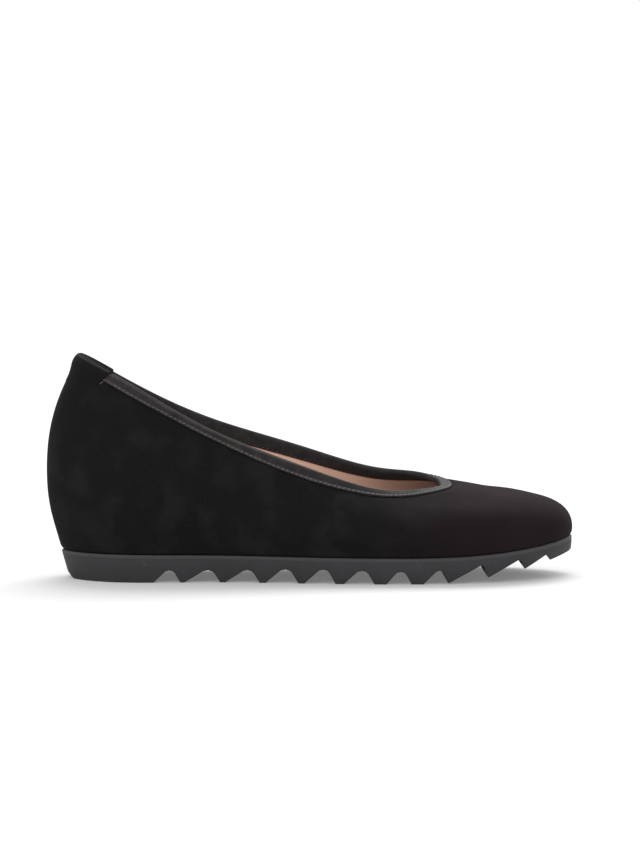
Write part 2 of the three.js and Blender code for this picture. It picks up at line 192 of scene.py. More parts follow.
# %% [markdown]
# Soft creases
# Suede over a lining has no sharp folds. It has shallow troughs where the foot bends it and low
# ridges where something under it ends. Each is placed one by one: its middle on the shoe, the direction
# that it runs in, its length, its width, and its height, which is below zero for a trough.


# %% A helper that presses troughs and ridges into a mesh
def press(piece, creases):
    moves = []
    for x, y, z, run_x, run_y, run_z, length, width, height in creases:
        run = Vector((run_x, run_y, run_z)).normalized()
        moves.append((Vector((x, y, z)) * MM, run, length * MM, width * MM, height * MM))
    deepest = 0.0
    # The normals are read first, because each move makes Blender work all of them out again
    normals = [vertex.normal.copy() for vertex in piece.data.vertices]
    for vertex, normal in zip(piece.data.vertices, normals):
        step = 0.0
        for middle, run, length, width, height in moves:
            offset = vertex.co - middle
            along = offset.dot(run)
            across = (offset - along * run).length
            step += height * math.exp(-((2 * along / length) ** 4) - (2 * across / width) ** 2)
        vertex.co += normal * step
        deepest = max(deepest, abs(step))
    print(piece.name, "was pressed by up to", round(deepest / MM, 2), "mm")


# %% [markdown]
# The suede upper
# The real upper is a sheet of suede pulled over a last and glued under it. The outer face of the
# solid has that shape, with the edge that turns under at the feather line. So only that face is kept
# and a Solidify modifier gives it the thickness of suede, inwards. Catmull-Clark subdivision then
# rounds the turn.

# %% Make the suede upper
suede_thickness = 1.3
upper_copy = copy_of("upper")
outer_faces = faces_outside(upper_copy)
inner_faces = [face for face in upper_copy.faces if face not in outer_faces]
bmesh.ops.delete(upper_copy, geom=inner_faces, context="FACES")
suede_upper = piece_from(upper_copy, "suede_upper", "suede", "upper")
thickness = suede_upper.modifiers.new("suede", "SOLIDIFY")
thickness.thickness = suede_thickness * MM
thickness.offset = -1
rounded(suede_upper, 2)

# middle x, y, z, run x, y, z, length, width, height
upper_creases = [
    (84, -14, 40, 0.25, 1.0, -0.1, 46, 13, -0.45),  # where the toes bend it, outer side
    (84, 16, 40, 0.25, -1.0, -0.1, 44, 13, -0.4),  # and inner side
    (72, -31, 32, 0.8, 0.35, -0.5, 34, 10, 0.3),  # low ridge along the outer side of the ball
    (40, -37, 26, 1.0, 0.0, 0.1, 60, 14, -0.35),  # slack above the sole at the ball
    (-8, -29, 34, 1.0, 0.0, -0.22, 70, 16, -0.5),  # hollow along the waist
    (-6, 27, 34, 1.0, 0.0, -0.22, 66, 16, -0.5),
    (-62, -29, 52, 0.35, 0.0, 1.0, 44, 9, 0.35),  # front end of the heel stiffener
    (-62, 29, 52, 0.35, 0.0, 1.0, 44, 9, 0.35),
    (-96, -24, 40, 1.0, -0.3, 0.1, 30, 16, 0.3),  # fullness at the side of the heel
    (104, 10, 35, 0.3, 1.0, 0.0, 36, 16, -0.25),  # over the tips of the toes
]
press(suede_upper, upper_creases)

# %% [markdown]
# The lining
# Behind the suede lies a thinner sheet of pale leather, and it is all that shows inside. It is made in
# the same way from the inner face of the wall, with its thickness towards the suede.

# %% Make the lining
lining_thickness = 0.8
lining_copy = copy_of("upper")
bmesh.ops.delete(lining_copy, geom=list(faces_outside(lining_copy)), context="FACES")
wall_lining = piece_from(lining_copy, "wall_lining", "lining_leather", "upper")
thickness = wall_lining.modifiers.new("lining", "SOLIDIFY")
thickness.thickness = lining_thickness * MM
thickness.offset = -1
rounded(wall_lining, 1)

# middle x, y, z, run x, y, z, length, width, height
lining_creases = [
    (0, 30, 42, 0.4, 0.0, 1.0, 26, 7, 0.3),
    (22, 30, 38, 0.5, 0.0, 1.0, 22, 6, 0.25),
    (-30, 28, 52, 0.2, 0.0, 1.0, 24, 8, 0.25),
]
press(wall_lining, lining_creases)

# %% [markdown]
# The insole
# The sock is a pale sheet of leather, glued down over a hidden wedge that lifts the heel. The solid
# already has its cupped top, and subdivision rounds the rim as glued leather rounds it.

# %% Make the insole
insole = piece_from(copy_of("insole"), "leather_insole", "lining_leather", "insole")
rounded(insole, 2)

# %% [markdown]
# The binding
# A strip of smooth leather is folded over the raw edge of the wall and sewn through. Its copy keeps
# both faces, because the edges of the strip show. Before it is rounded, its four long sharp edges
# are found. The one furthest from the middle of the foot is the strip's outer edge and the nearest
# is its inner edge. The seam runs just above each of them, up the strip's leg.

# %% Find the seams on the binding
seam_from_edge = 0.95
sharp_angle = 60
binding_copy = copy_of("topline_binding")


def sharp_lines(bm):
    """Closed lines of sharp edges, each as its corners in order."""
    # A list keeps the order of the mesh. A set would start each line at another edge in each run.
    sharp = [edge for edge in bm.edges if edge.calc_face_angle(0) > math.radians(sharp_angle)]
    lines = []
    while sharp:
        start, corner = sharp.pop(0).verts
        line = [start]
        while corner != start:
            line.append(corner)
            onward = next(edge for edge in corner.link_edges if edge in sharp)
            sharp.remove(onward)
            corner = onward.other_vert(corner)
        lines.append(line)
    return lines


def mean_distance(line):
    return sum(away_from_foot(corner.co).length for corner in line) / len(line)


def up_the_strip(corner, on_line, steps):
    """Corners from the edge of the strip up its leg, one for each step, found across the quads."""
    legs = [edge for edge in corner.link_edges if edge.other_vert(corner) not in on_line]
    edge = max(legs, key=lambda leg: leg.calc_length())
    corners = [corner]
    for _ in range(steps):
        corner = edge.other_vert(corner)
        corners.append(corner)
        beside = set(edge.link_faces)
        edge = next(link for link in corner.link_edges if not beside & set(link.link_faces))
    return corners


def seam_above(line):
    """Places with normals just above one edge of the strip, up its leg."""
    on_line = set(line)
    seam = []
    for corner in line:
        above = up_the_strip(corner, on_line, 1)[1]
        up = (above.co - corner.co).normalized()
        faces = set(corner.link_faces) & set(above.link_faces)
        normal = sum((face.normal for face in faces), Vector()).normalized()
        seam.append((corner.co + up * seam_from_edge * MM, normal))
    return seam


edges_of_strip = sorted(sharp_lines(binding_copy), key=mean_distance)
inner_edge, outer_edge = edges_of_strip[0], edges_of_strip[-1]
outer_seam = seam_above(outer_edge)
inner_seam = seam_above(inner_edge)
crown_steps = 3
crown_corners = [up_the_strip(corner, set(outer_edge), crown_steps)[-1] for corner in outer_edge]
crown_line = [corner.co.copy() for corner in crown_corners]
outer_edge_line = [corner.co.copy() for corner in outer_edge]
print("the strip has", len(edges_of_strip), "sharp edges, and its seam", len(outer_seam), "points")

# %% [markdown]
# Measures along the strip
# The finish of the strip follows its edges: the leather is painted paler along the fold and along the
# sewn edge, partly burnished by use and partly a painted highlight. So each corner of the mesh keeps
# its distance from those lines, in millimetres, as an attribute that a material can read.

# %% Helpers that measure from a line and keep the result
line_step = 0.25


def tree_of(line):
    """A search tree of points every quarter of a millimetre along a closed line."""
    points = []
    for start, end in zip(line, line[1:] + line[:1]):
        count = max(1, round((end - start).length / (line_step * MM)))
        points += [start.lerp(end, step / count) for step in range(count)]
    tree = KDTree(len(points))
    for index, point in enumerate(points):
        tree.insert(point, index)
    tree.balance()
    return tree


crown_tree = tree_of(crown_line)
outer_tree = tree_of(outer_edge_line)


def measured(piece, name, measure):
    attribute = piece.data.attributes.new(name, "FLOAT", "POINT")
    values = [measure(vertex.co, vertex.normal) for vertex in piece.data.vertices]
    attribute.data.foreach_set("value", values)
    print(piece.name, name, "runs from", round(min(values), 2), "to", round(max(values), 2))


def from_line(tree):
    return lambda point, normal: tree.find(point)[2] / MM


def facing_out(point, normal):
    """One where the surface looks away from the foot, falling to zero where it looks inwards."""
    return min(1.0, max(0.0, 2 * normal.dot(away_from_foot(point).normalized())))


# %% Make the binding
keep_sharp(binding_copy, sharp_angle, 0.7)
binding = piece_from(binding_copy, "leather_binding", "binding_leather", "topline_binding")
rounded(binding, 2)
measured(binding, "from_edge", from_line(outer_tree))
measured(binding, "from_crown", from_line(crown_tree))
measured(binding, "outer_leg", facing_out)

# %% [markdown]
# Gathers at the throat
# A straight strip can't lie flat round the tight front of the opening, so it gathers there into
# small soft folds that run out from the foot. They are pressed in as the creases of the upper are.

# %% Press the gathers
# middle x, y, z, run x, y, z, length, width, height
throat_gathers = [
    (64.0, 0.5, 43.5, 1.0, 0.0, -0.15, 9, 2.4, 0.16),
    (63.3, -4.5, 43.3, 0.9, -0.35, -0.15, 9, 2.2, -0.16),
    (61.5, -9.0, 43.0, 0.75, -0.6, -0.2, 9, 2.4, 0.15),
    (58.0, -12.5, 42.8, 0.6, -0.75, -0.25, 9, 2.4, -0.14),
    (53.5, -16.5, 42.5, 0.45, -0.85, -0.3, 9, 2.8, 0.12),
    (63.5, 5.5, 44.0, 0.9, 0.35, -0.15, 9, 2.2, -0.16),
    (61.5, 10.5, 44.5, 0.75, 0.6, -0.2, 9, 2.4, 0.15),
    (57.5, 15.0, 45.5, 0.6, 0.75, -0.25, 9, 2.6, -0.13),
]
press(binding, throat_gathers)

# %% [markdown]
# The heel tab
# At the back of the heel the suede is turned over the binding, where a finger pulls the shoe on. Its
# lower edge is skived, that is, pared to nothing and glued flush, so it doesn't show, while its front
# edges stand over the binding. The copy of the tab keeps its corners sharp, and below the binding it
# is drawn in to the suede, by how far each corner lies under the crown of the binding. The photograph
# shows a thin paler line just under the fold, where the fold catches the light. It is a painted
# highlight, drawn as paler nap from an attribute.

# %% Make the heel tab
skive_start = 4.5
skive_length_back = 9.0
skive_length_front = 3.9
skive_depth = 1.2
tab_back_x = -118
tab_front_x = -102

tab_copy = copy_of("heel_tab")
keep_sharp(tab_copy, sharp_angle, 0.8)
heel_tab = piece_from(tab_copy, "suede_heel_tab", "suede", "heel_tab")
rounded(heel_tab, 2)
suede_tree = BVHTree.FromPolygons(
    [vertex.co for vertex in suede_upper.data.vertices],
    [polygon.vertices for polygon in suede_upper.data.polygons],
)
for vertex in heel_tab.data.vertices:
    normal = suede_tree.find_nearest(vertex.co)[1]
    if normal.dot(away_from_foot(vertex.co)) > 0:
        below_crown = crown_tree.find(vertex.co)[2] / MM
        forward = min(1, max(0, (vertex.co.x / MM - tab_back_x) / (tab_front_x - tab_back_x)))
        skive_length = skive_length_back + forward * (skive_length_front - skive_length_back)
        share = min(1, max(0, (below_crown - skive_start) / skive_length))
        vertex.co -= normal * skive_depth * MM * share * share * (3 - 2 * share)
fold_highlight_depth = 2.1
fold_highlight_width = 0.28


def along_tab_fold(point, normal):
    """One on the painted highlight line outside, falling to zero beside it."""
    from_line_middle = (crown_tree.find(point)[2] / MM - fold_highlight_depth) / fold_highlight_width
    return facing_out(point, normal) * math.exp(-from_line_middle * from_line_middle)


measured(heel_tab, "painted_fold_highlight", along_tab_fold)

# %% [markdown]
# The sole
# The sole is moulded in one piece. Its tread is cut straight across, so its edges are crisp, with
# the small round that every mould leaves. A Bevel modifier on the sharp edges makes that round, and
# it catches the light along the edges.

# %% Make the sole
sole_copy = bmesh.new()
sole_copy.from_mesh(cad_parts["outsole"].data)
bmesh.ops.remove_doubles(sole_copy, verts=sole_copy.verts, dist=merge_distance)
bmesh.ops.dissolve_limit(
    sole_copy, angle_limit=math.radians(0.5), verts=sole_copy.verts, edges=sole_copy.edges
)
sole = piece_from(sole_copy, "moulded_outsole", "moulded_sole", "outsole")
corner = sole.modifiers.new("mould round", "BEVEL")
corner.width = 0.35 * MM
corner.segments = 2
corner.limit_method = "ANGLE"
corner.angle_limit = math.radians(28)
corner.harden_normals = True
applied(sole)
sole_tree = BVHTree.FromPolygons(
    [vertex.co for vertex in sole.data.vertices],
    [polygon.vertices for polygon in sole.data.polygons],
)
towards_middle = 0.97


def below_top(point, normal):
    """How far a point lies under the sole's upper face, found by a ray from above."""
    above = Vector((point.x * towards_middle, point.y * towards_middle, 100 * MM))
    return (sole_tree.ray_cast(above, Vector((0, 0, -1)))[0].z - point.z) / MM


measured(sole, "below_top", below_top)

# %% [markdown]
# Colours and nodes
# A colour on a screen isn't linear, and the shader works in linear light, so one function turns a hex
# value into it. Another adds a node with its settings and its links, which keeps each material short.


# %% Helpers for colours and nodes
def colour(hex_value):
    channels = [(hex_value >> shift & 255) / 255 for shift in (16, 8, 0)]
    linear = [c / 12.92 if c <= 0.04045 else ((c + 0.055) / 1.055) ** 2.4 for c in channels]
    return (*linear, 1.0)


def node(material, kind, inputs=None, **settings):
    made = material.node_tree.nodes.new(kind)
    for name, value in settings.items():
        setattr(made, name, value)
    for name, value in (inputs or {}).items():
        if isinstance(value, bpy.types.NodeSocket):
            material.node_tree.links.new(value, made.inputs[name])
        else:
            made.inputs[name].default_value = value
    return made


def per_metre(size):
    """Scale of a pattern whose features are this many millimetres across."""
    return 1 / (size * MM)


def new_material(name):
    """An empty node material, its shader, and the object coordinates that its patterns read."""
    material = bpy.data.materials.new(name)
    material.use_nodes = True
    material.node_tree.nodes.clear()
    shader = node(material, "ShaderNodeBsdfPrincipled")
    node(material, "ShaderNodeOutputMaterial", {"Surface": shader.outputs[0]})
    place = node(material, "ShaderNodeTexCoord").outputs["Object"]
    return material, shader, place


# %% [markdown]
# Black suede
# Suede is the split or flesh side of a hide, sanded until its fibres stand up as a nap. It has no
# gloss at all, but the tips of the fibres catch light at a low angle, which is what sheen does. The
# nap lies this way and that, so there are lighter and darker patches with soft edges. In the
# photograph the black is a little reddish towards the toe. Its cause doesn't show, and it is drawn as
# a change of colour along the shoe. Fibres are some 0.1 mm across. They are drawn as clumps of
# 0.7 mm, which is about as fine as the picture shows. The specular level is far below the usual 0.5,
# because loose fibres have no smooth face to reflect from. A closed seam down the back of the heel,
# which can't be seen in the photograph, is a guess. It is a groove that stops below the tab.

# %% Make the suede
red_from = 10 * MM
red_full = 95 * MM
half_seam = 0.8 * MM
seam_front = -105 * MM
seam_top = 90 * MM

suede, shader, place = new_material("black_suede")
dye = node(
    suede,
    "ShaderNodeTexNoise",
    {"Vector": place, "Scale": per_metre(55), "Detail": 3, "Roughness": 0.6, "Distortion": 0.8},
)
brushed = node(
    suede,
    "ShaderNodeTexNoise",
    {"Vector": place, "Scale": per_metre(15), "Detail": 2, "Roughness": 0.5, "Distortion": 0.2},
)
clumps = node(
    suede,
    "ShaderNodeTexNoise",
    {"Vector": place, "Scale": per_metre(0.7), "Detail": 3, "Roughness": 0.7},
)
dyed = node(
    suede,
    "ShaderNodeMix",
    {"Factor": dye.outputs[0], 6: colour(0x0E0E0E), 7: colour(0x151314)},
    data_type="RGBA",
)
patches = node(
    suede,
    "ShaderNodeMapRange",
    {"Value": brushed.outputs[0], "From Min": 0.42, "From Max": 0.72, "To Min": 0.0, "To Max": 0.8},
    interpolation_type="SMOOTHSTEP",
)
patched = node(
    suede,
    "ShaderNodeMix",
    {"Factor": patches.outputs[0], 6: dyed.outputs[2], 7: colour(0x1C1C1C)},
    data_type="RGBA",
)
tips = node(
    suede,
    "ShaderNodeMapRange",
    {"Value": clumps.outputs[0], "From Min": 0.35, "From Max": 0.7, "To Min": 0.0, "To Max": 0.5},
)
napped = node(
    suede,
    "ShaderNodeMix",
    {"Factor": tips.outputs[0], 6: patched.outputs[2], 7: colour(0x1D1D1D)},
    data_type="RGBA",
)
along_shoe = node(suede, "ShaderNodeSeparateXYZ", {"Vector": place})
towards_toe = node(
    suede,
    "ShaderNodeMapRange",
    {"Value": along_shoe.outputs["X"], "From Min": red_from, "From Max": red_full, "To Max": 0.6},
    interpolation_type="SMOOTHSTEP",
)
faded = node(
    suede,
    "ShaderNodeMix",
    {"Factor": towards_toe.outputs[0], 6: napped.outputs[2], 7: colour(0x20161A)},
    data_type="RGBA",
)
from_middle = node(suede, "ShaderNodeMath", {0: along_shoe.outputs["Y"]}, operation="ABSOLUTE")
closed_seam = node(
    suede,
    "ShaderNodeMapRange",
    {"Value": from_middle.outputs[0], "From Max": half_seam, "To Min": 1.0, "To Max": 0.0},
    interpolation_type="SMOOTHSTEP",
)
at_heel = node(
    suede,
    "ShaderNodeMath",
    {0: along_shoe.outputs["X"], 1: seam_front},
    operation="LESS_THAN",
)
under_tab = node(
    suede,
    "ShaderNodeMath",
    {0: along_shoe.outputs["Z"], 1: seam_top},
    operation="LESS_THAN",
)
heel_below_tab = node(
    suede,
    "ShaderNodeMath",
    {0: at_heel.outputs[0], 1: under_tab.outputs[0]},
    operation="MULTIPLY",
)
back_seam = node(
    suede,
    "ShaderNodeMath",
    {0: closed_seam.outputs[0], 1: heel_below_tab.outputs[0]},
    operation="MULTIPLY",
)
# A painted highlight: the suede is painted paler in a thin line just under the tab's fold.
painted_fold_highlight = node(suede, "ShaderNodeAttribute", attribute_name="painted_fold_highlight")
with_fold_highlight = node(
    suede,
    "ShaderNodeMix",
    {"Factor": painted_fold_highlight.outputs["Fac"], 6: faded.outputs[2], 7: colour(0x393737)},
    data_type="RGBA",
)
hide = node(
    suede,
    "ShaderNodeBump",
    {"Height": brushed.outputs[0], "Strength": 1.0, "Distance": 0.5 * MM},
)
seam = node(
    suede,
    "ShaderNodeBump",
    {
        "Height": back_seam.outputs[0],
        "Strength": 1.0,
        "Distance": 0.5 * MM,
        "Normal": hide.outputs[0],
    },
    invert=True,
)
nap = node(
    suede,
    "ShaderNodeBump",
    {"Height": clumps.outputs[0], "Strength": 0.8, "Distance": 0.12 * MM, "Normal": seam.outputs[0]},
)
for name, value in {"Roughness": 0.96, "IOR": 1.45, "Specular IOR Level": 0.08}.items():
    shader.inputs[name].default_value = value
shader.inputs["Sheen Weight"].default_value = 0.03
shader.inputs["Sheen Roughness"].default_value = 0.45
shader.inputs["Sheen Tint"].default_value = colour(0x9A9296)
suede.node_tree.links.new(with_fold_highlight.outputs[2], shader.inputs["Base Color"])
suede.node_tree.links.new(nap.outputs[0], shader.inputs["Normal"])
suede_upper.data.materials.append(suede)
heel_tab.data.materials.append(suede)
print("suede is on", suede_upper.name, "and", heel_tab.name)

# %% [markdown]
# Smooth black binding leather
# The binding is thin calf leather, dyed black and lightly polished, with pores about 0.5 mm apart. In
# the photograph it is two pale lines with a mottled dark band between them. They are drawn as low
# ridges along its fold and its sewn edge, painted paler there, partly burnished by use and partly a
# painted highlight. The strip is darkest beside the ball of the foot and palest at the throat, because
# of how it leans to the light. That is painted light and shade: the colour changes along the shoe,
# with painted shade beside the ball and a painted highlight at the throat. The specular level is lower
# than polished leather has, so both are fitted to the picture and aren't facts about the leather.

# %% Make the binding leather
fold_ridge = 1.8
fold_ridge_width = 0.5
edge_ridge = 0.8
edge_ridge_width = 1.0
half_length = 125
# place along the shoe in millimetres from its middle, and the painted light and shade there: painted
# shade beside the ball, a painted highlight at the throat
painted_light_along = [
    (-125, 0x3A3536),  # heel
    (5, 0x363132),
    (18, 0x201D1E),
    (33, 0x0D0C0D),  # beside the ball
    (47, 0x1A1819),
    (62, 0x4A4647),  # throat
]
dye_inside = 0x3A3B3D

calf, shader, place = new_material("polished_calf_leather")


def ridge_at(measure, distance_from_line, width):
    """One on the middle of a ridge, and zero beyond its width, from a measured distance."""
    read = node(calf, "ShaderNodeAttribute", attribute_name=measure)
    offset = node(
        calf,
        "ShaderNodeMath",
        {0: read.outputs["Fac"], 1: distance_from_line},
        operation="SUBTRACT",
    )
    beside = node(calf, "ShaderNodeMath", {0: offset.outputs[0]}, operation="ABSOLUTE")
    hill = node(
        calf,
        "ShaderNodeMapRange",
        {"Value": beside.outputs[0], "From Max": width, "To Min": 1.0, "To Max": 0.0},
        interpolation_type="SMOOTHSTEP",
    )
    return hill.outputs[0]


pores = node(
    calf,
    "ShaderNodeTexVoronoi",
    {"Vector": place, "Scale": per_metre(0.55), "Randomness": 1.0},
)
mottle = node(
    calf,
    "ShaderNodeTexNoise",
    {"Vector": place, "Scale": per_metre(5), "Detail": 4, "Roughness": 0.6, "Distortion": 0.5},
)
outer_leg = node(calf, "ShaderNodeAttribute", attribute_name="outer_leg")
ridges = node(
    calf,
    "ShaderNodeMath",
    {
        0: ridge_at("from_crown", fold_ridge, fold_ridge_width),
        1: ridge_at("from_edge", edge_ridge, edge_ridge_width),
    },
    operation="MAXIMUM",
)
raised = node(
    calf,
    "ShaderNodeMath",
    {0: ridges.outputs[0], 1: outer_leg.outputs["Fac"]},
    operation="MULTIPLY",
)
uneven = node(
    calf,
    "ShaderNodeMapRange",
    {"Value": mottle.outputs[0], "From Min": 0.3, "From Max": 0.65, "To Min": 0.25, "To Max": 1.0},
)
# The ridges are painted paler below, partly burnished by use and partly a painted highlight.
wear_and_highlight = node(
    calf,
    "ShaderNodeMath",
    {0: raised.outputs[0], 1: uneven.outputs[0]},
    operation="MULTIPLY",
)
calf_place = node(calf, "ShaderNodeSeparateXYZ", {"Vector": place})
# This ramp along the shoe is painted light and shade, not a change of dye.
along_ramp = node(
    calf,
    "ShaderNodeMapRange",
    {"Value": calf_place.outputs["X"], "From Min": -half_length * MM, "From Max": half_length * MM},
)
ramp = node(calf, "ShaderNodeValToRGB", {"Fac": along_ramp.outputs[0]})
ramp.color_ramp.elements.remove(ramp.color_ramp.elements[1])
for index, (along, hex_value) in enumerate(painted_light_along):
    share = (along + half_length) / (2 * half_length)
    stops = ramp.color_ramp.elements
    stop = stops[0] if index == 0 else stops.new(share)
    stop.position = share
    stop.color = colour(hex_value)
by_side = node(
    calf,
    "ShaderNodeMix",
    {"Factor": outer_leg.outputs["Fac"], 6: colour(dye_inside), 7: ramp.outputs[0]},
    data_type="RGBA",
)
dyed = node(
    calf,
    "ShaderNodeMix",
    {"Factor": mottle.outputs[0], 6: colour(0x0C0C0D), 7: by_side.outputs[2]},
    data_type="RGBA",
)
finish = node(
    calf,
    "ShaderNodeMix",
    {"Factor": wear_and_highlight.outputs[0], 6: dyed.outputs[2], 7: colour(0x45413F)},
    data_type="RGBA",
)
gloss = node(
    calf,
    "ShaderNodeMapRange",
    {"Value": mottle.outputs[0], "From Min": 0.3, "From Max": 0.7, "To Min": 0.5, "To Max": 0.68},
)
pressed = node(
    calf,
    "ShaderNodeBump",
    {"Height": raised.outputs[0], "Strength": 1.0, "Distance": 0.18 * MM},
)
grain = node(
    calf,
    "ShaderNodeBump",
    {
        "Height": pores.outputs[0],
        "Strength": 0.5,
        "Distance": 0.05 * MM,
        "Normal": pressed.outputs[0],
    },
)
calf_settings = {"IOR": 1.5, "Specular IOR Level": 0.07, "Coat Weight": 0.02, "Coat Roughness": 0.35}
for name, value in calf_settings.items():
    shader.inputs[name].default_value = value
calf.node_tree.links.new(finish.outputs[2], shader.inputs["Base Color"])
calf.node_tree.links.new(gloss.outputs[0], shader.inputs["Roughness"])
calf.node_tree.links.new(grain.outputs[0], shader.inputs["Normal"])
binding.data.materials.append(calf)

# %% [markdown]
# Pale lining leather
# Lining leather is vegetable-tanned pigskin or goatskin with hardly any finish. It is a warm peach
# colour, matt, with fine pores. The photograph shows it darker towards the toes. Shade makes part of
# that, and the rest is painted shade in its colour.

# %% Make the lining leather
darkest_at = 75 * MM

peach, shader, place = new_material("peach_lining_leather")
tan = node(
    peach,
    "ShaderNodeTexNoise",
    {"Vector": place, "Scale": per_metre(28), "Detail": 4, "Roughness": 0.6},
)
skin = node(
    peach,
    "ShaderNodeTexVoronoi",
    {"Vector": place, "Scale": per_metre(0.9), "Randomness": 1.0},
)
tanned = node(
    peach,
    "ShaderNodeMix",
    {"Factor": tan.outputs[0], 6: colour(0xC6A695), 7: colour(0xDBBDAC)},
    data_type="RGBA",
)
along_shoe = node(peach, "ShaderNodeSeparateXYZ", {"Vector": place})
towards_toes = node(
    peach,
    "ShaderNodeMapRange",
    {"Value": along_shoe.outputs["X"], "From Max": darkest_at, "To Max": 0.7},
    interpolation_type="SMOOTHSTEP",
)
# Painted shade: the lining is darkened towards the toes.
painted_toe_shade = node(
    peach,
    "ShaderNodeMix",
    {"Factor": towards_toes.outputs[0], 6: tanned.outputs[2], 7: colour(0x7E7470)},
    data_type="RGBA",
)
pitted = node(
    peach,
    "ShaderNodeBump",
    {"Height": skin.outputs[0], "Strength": 0.5, "Distance": 0.08 * MM},
)
for name, value in {"Roughness": 0.62, "IOR": 1.48, "Specular IOR Level": 0.35}.items():
    shader.inputs[name].default_value = value
peach.node_tree.links.new(painted_toe_shade.outputs[2], shader.inputs["Base Color"])
peach.node_tree.links.new(pitted.outputs[0], shader.inputs["Normal"])
for piece in (wall_lining, insole):
    piece.data.materials.append(peach)

# %% [markdown]
# Moulded rubber
# The sole looks like thermoplastic rubber, filled with black and moulded against a lightly etched
# steel mould. It is a matt dark grey, with a fine texture some 0.3 mm across, drawn at 0.6 mm. A paler
# edge along the top and a few faint marks show in the photograph. The paler top edge is a painted
# highlight where the rounded edge catches the light, and the marks are taken to be marks of handling.

# %% Make the rubber
rubber, shader, place = new_material("moulded_thermoplastic_rubber")
cloud = node(
    rubber,
    "ShaderNodeTexNoise",
    {"Vector": place, "Scale": per_metre(30), "Detail": 3, "Roughness": 0.6},
)
etched = node(
    rubber,
    "ShaderNodeTexNoise",
    {"Vector": place, "Scale": per_metre(0.6), "Detail": 2, "Roughness": 0.6},
)
filled = node(
    rubber,
    "ShaderNodeMix",
    {"Factor": cloud.outputs[0], 6: colour(0x2A292A), 7: colour(0x353336)},
    data_type="RGBA",
)
below_top_edge = node(rubber, "ShaderNodeAttribute", attribute_name="below_top")
# A painted highlight: the sole is painted paler just under its top edge.
top_edge_highlight = node(
    rubber,
    "ShaderNodeMapRange",
    {
        "Value": below_top_edge.outputs["Fac"],
        "From Min": 0.5,
        "From Max": 1.9,
        "To Min": 0.5,
        "To Max": 0.0,
    },
    interpolation_type="SMOOTHSTEP",
)
with_top_highlight = node(
    rubber,
    "ShaderNodeMix",
    {"Factor": top_edge_highlight.outputs[0], 6: filled.outputs[2], 7: colour(0x4A494B)},
    data_type="RGBA",
)
blemish = node(
    rubber,
    "ShaderNodeTexNoise",
    {"Vector": place, "Scale": per_metre(7), "Detail": 5, "Roughness": 0.75},
)
marks = node(
    rubber,
    "ShaderNodeMapRange",
    {"Value": blemish.outputs[0], "From Min": 0.6, "From Max": 0.72, "To Min": 0.0, "To Max": 0.45},
)
marked = node(
    rubber,
    "ShaderNodeMix",
    {"Factor": marks.outputs[0], 6: with_top_highlight.outputs[2], 7: colour(0x464547)},
    data_type="RGBA",
)
mould_texture = node(
    rubber,
    "ShaderNodeBump",
    {"Height": etched.outputs[0], "Strength": 0.6, "Distance": 0.08 * MM},
)
for name, value in {"Roughness": 0.7, "IOR": 1.52, "Specular IOR Level": 0.28}.items():
    shader.inputs[name].default_value = value
rubber.node_tree.links.new(marked.outputs[2], shader.inputs["Base Color"])
rubber.node_tree.links.new(mould_texture.outputs[0], shader.inputs["Normal"])
sole.data.materials.append(rubber)

# %% [markdown]
# Stitches
# The binding is sewn through with one row of small stitches. Each stitch is a thread that dives into
# the leather at both ends, so a small capsule, half sunk, looks right. One capsule is made from an
# icosphere, whose corners Blender gives in the same order each time, and it is repeated at even
# steps along the seam, slanted a little, because a lockstitch pulls the thread to one side.

# %% Helpers that repeat a stitch along a seam
stitch_pitch = 2.3
stitch_length = 1.75
thread_width = 0.42
thread_sunk = 0.04
stitch_slant = math.radians(14)


def even_steps(seam, pitch):
    """Places, directions and normals at even steps along a closed line of points with normals."""
    places = []
    left_over = 0.0
    for (start, normal), (end, next_normal) in zip(seam, seam[1:] + seam[:1]):
        span = end - start
        reach = left_over
        while reach < span.length:
            share = reach / span.length
            places.append((start + span * share, span.normalized(), normal.lerp(next_normal, share)))
            reach += pitch
        left_over = reach - span.length
    return places


def sewn(name, seam, keep):
    """One mesh of stitches along a seam, at the places that keep allows."""
    one = bmesh.new()
    size = Matrix.Diagonal((stitch_length * MM / 2, thread_width * MM / 2, thread_width * MM / 2, 1))
    bmesh.ops.create_icosphere(one, subdivisions=1, radius=1, matrix=size)
    stitch = bpy.data.meshes.new("one_stitch")
    one.to_mesh(stitch)
    one.free()
    bm = bmesh.new()
    kept = [step for step in even_steps(seam, stitch_pitch * MM) if keep(step[0])]
    for place, along, normal in kept:
        side = normal.cross(along).normalized()
        run = along * math.cos(stitch_slant) + side * math.sin(stitch_slant)
        lift = run.cross(side).normalized()
        if lift.dot(normal) < 0:
            lift.negate()
        turn = Matrix((run, lift.cross(run), lift)).transposed().to_4x4()
        seat = Matrix.Translation(place + lift * thread_sunk * MM) @ turn
        stitch.transform(seat)
        bm.from_mesh(stitch)
        stitch.transform(seat.inverted())
    bpy.data.meshes.remove(stitch)
    print(name, "has", len(kept), "stitches")
    return bm


# %% Sew the binding
tab_front = -92 * MM


def ahead_of_tab(place):
    return place.x > tab_front


outer_row = sewn("binding_stitches", outer_seam, ahead_of_tab)
outer_stitches = piece_from(outer_row, "binding_stitches", "binding_leather")
inner_row = sewn("inner_stitches", inner_seam, ahead_of_tab)
inner_stitches = piece_from(inner_row, "inner_stitches", "binding_leather")

# %% [markdown]
# The end of a thread
# The photograph shows a short pale stub at the lower front corner of the tab, on the outer side. It is
# taken to be the loose end of a thread. It is two and a half millimetres long and as thin as the
# stitches, so a sphere stretched along the tab's front edge is enough.

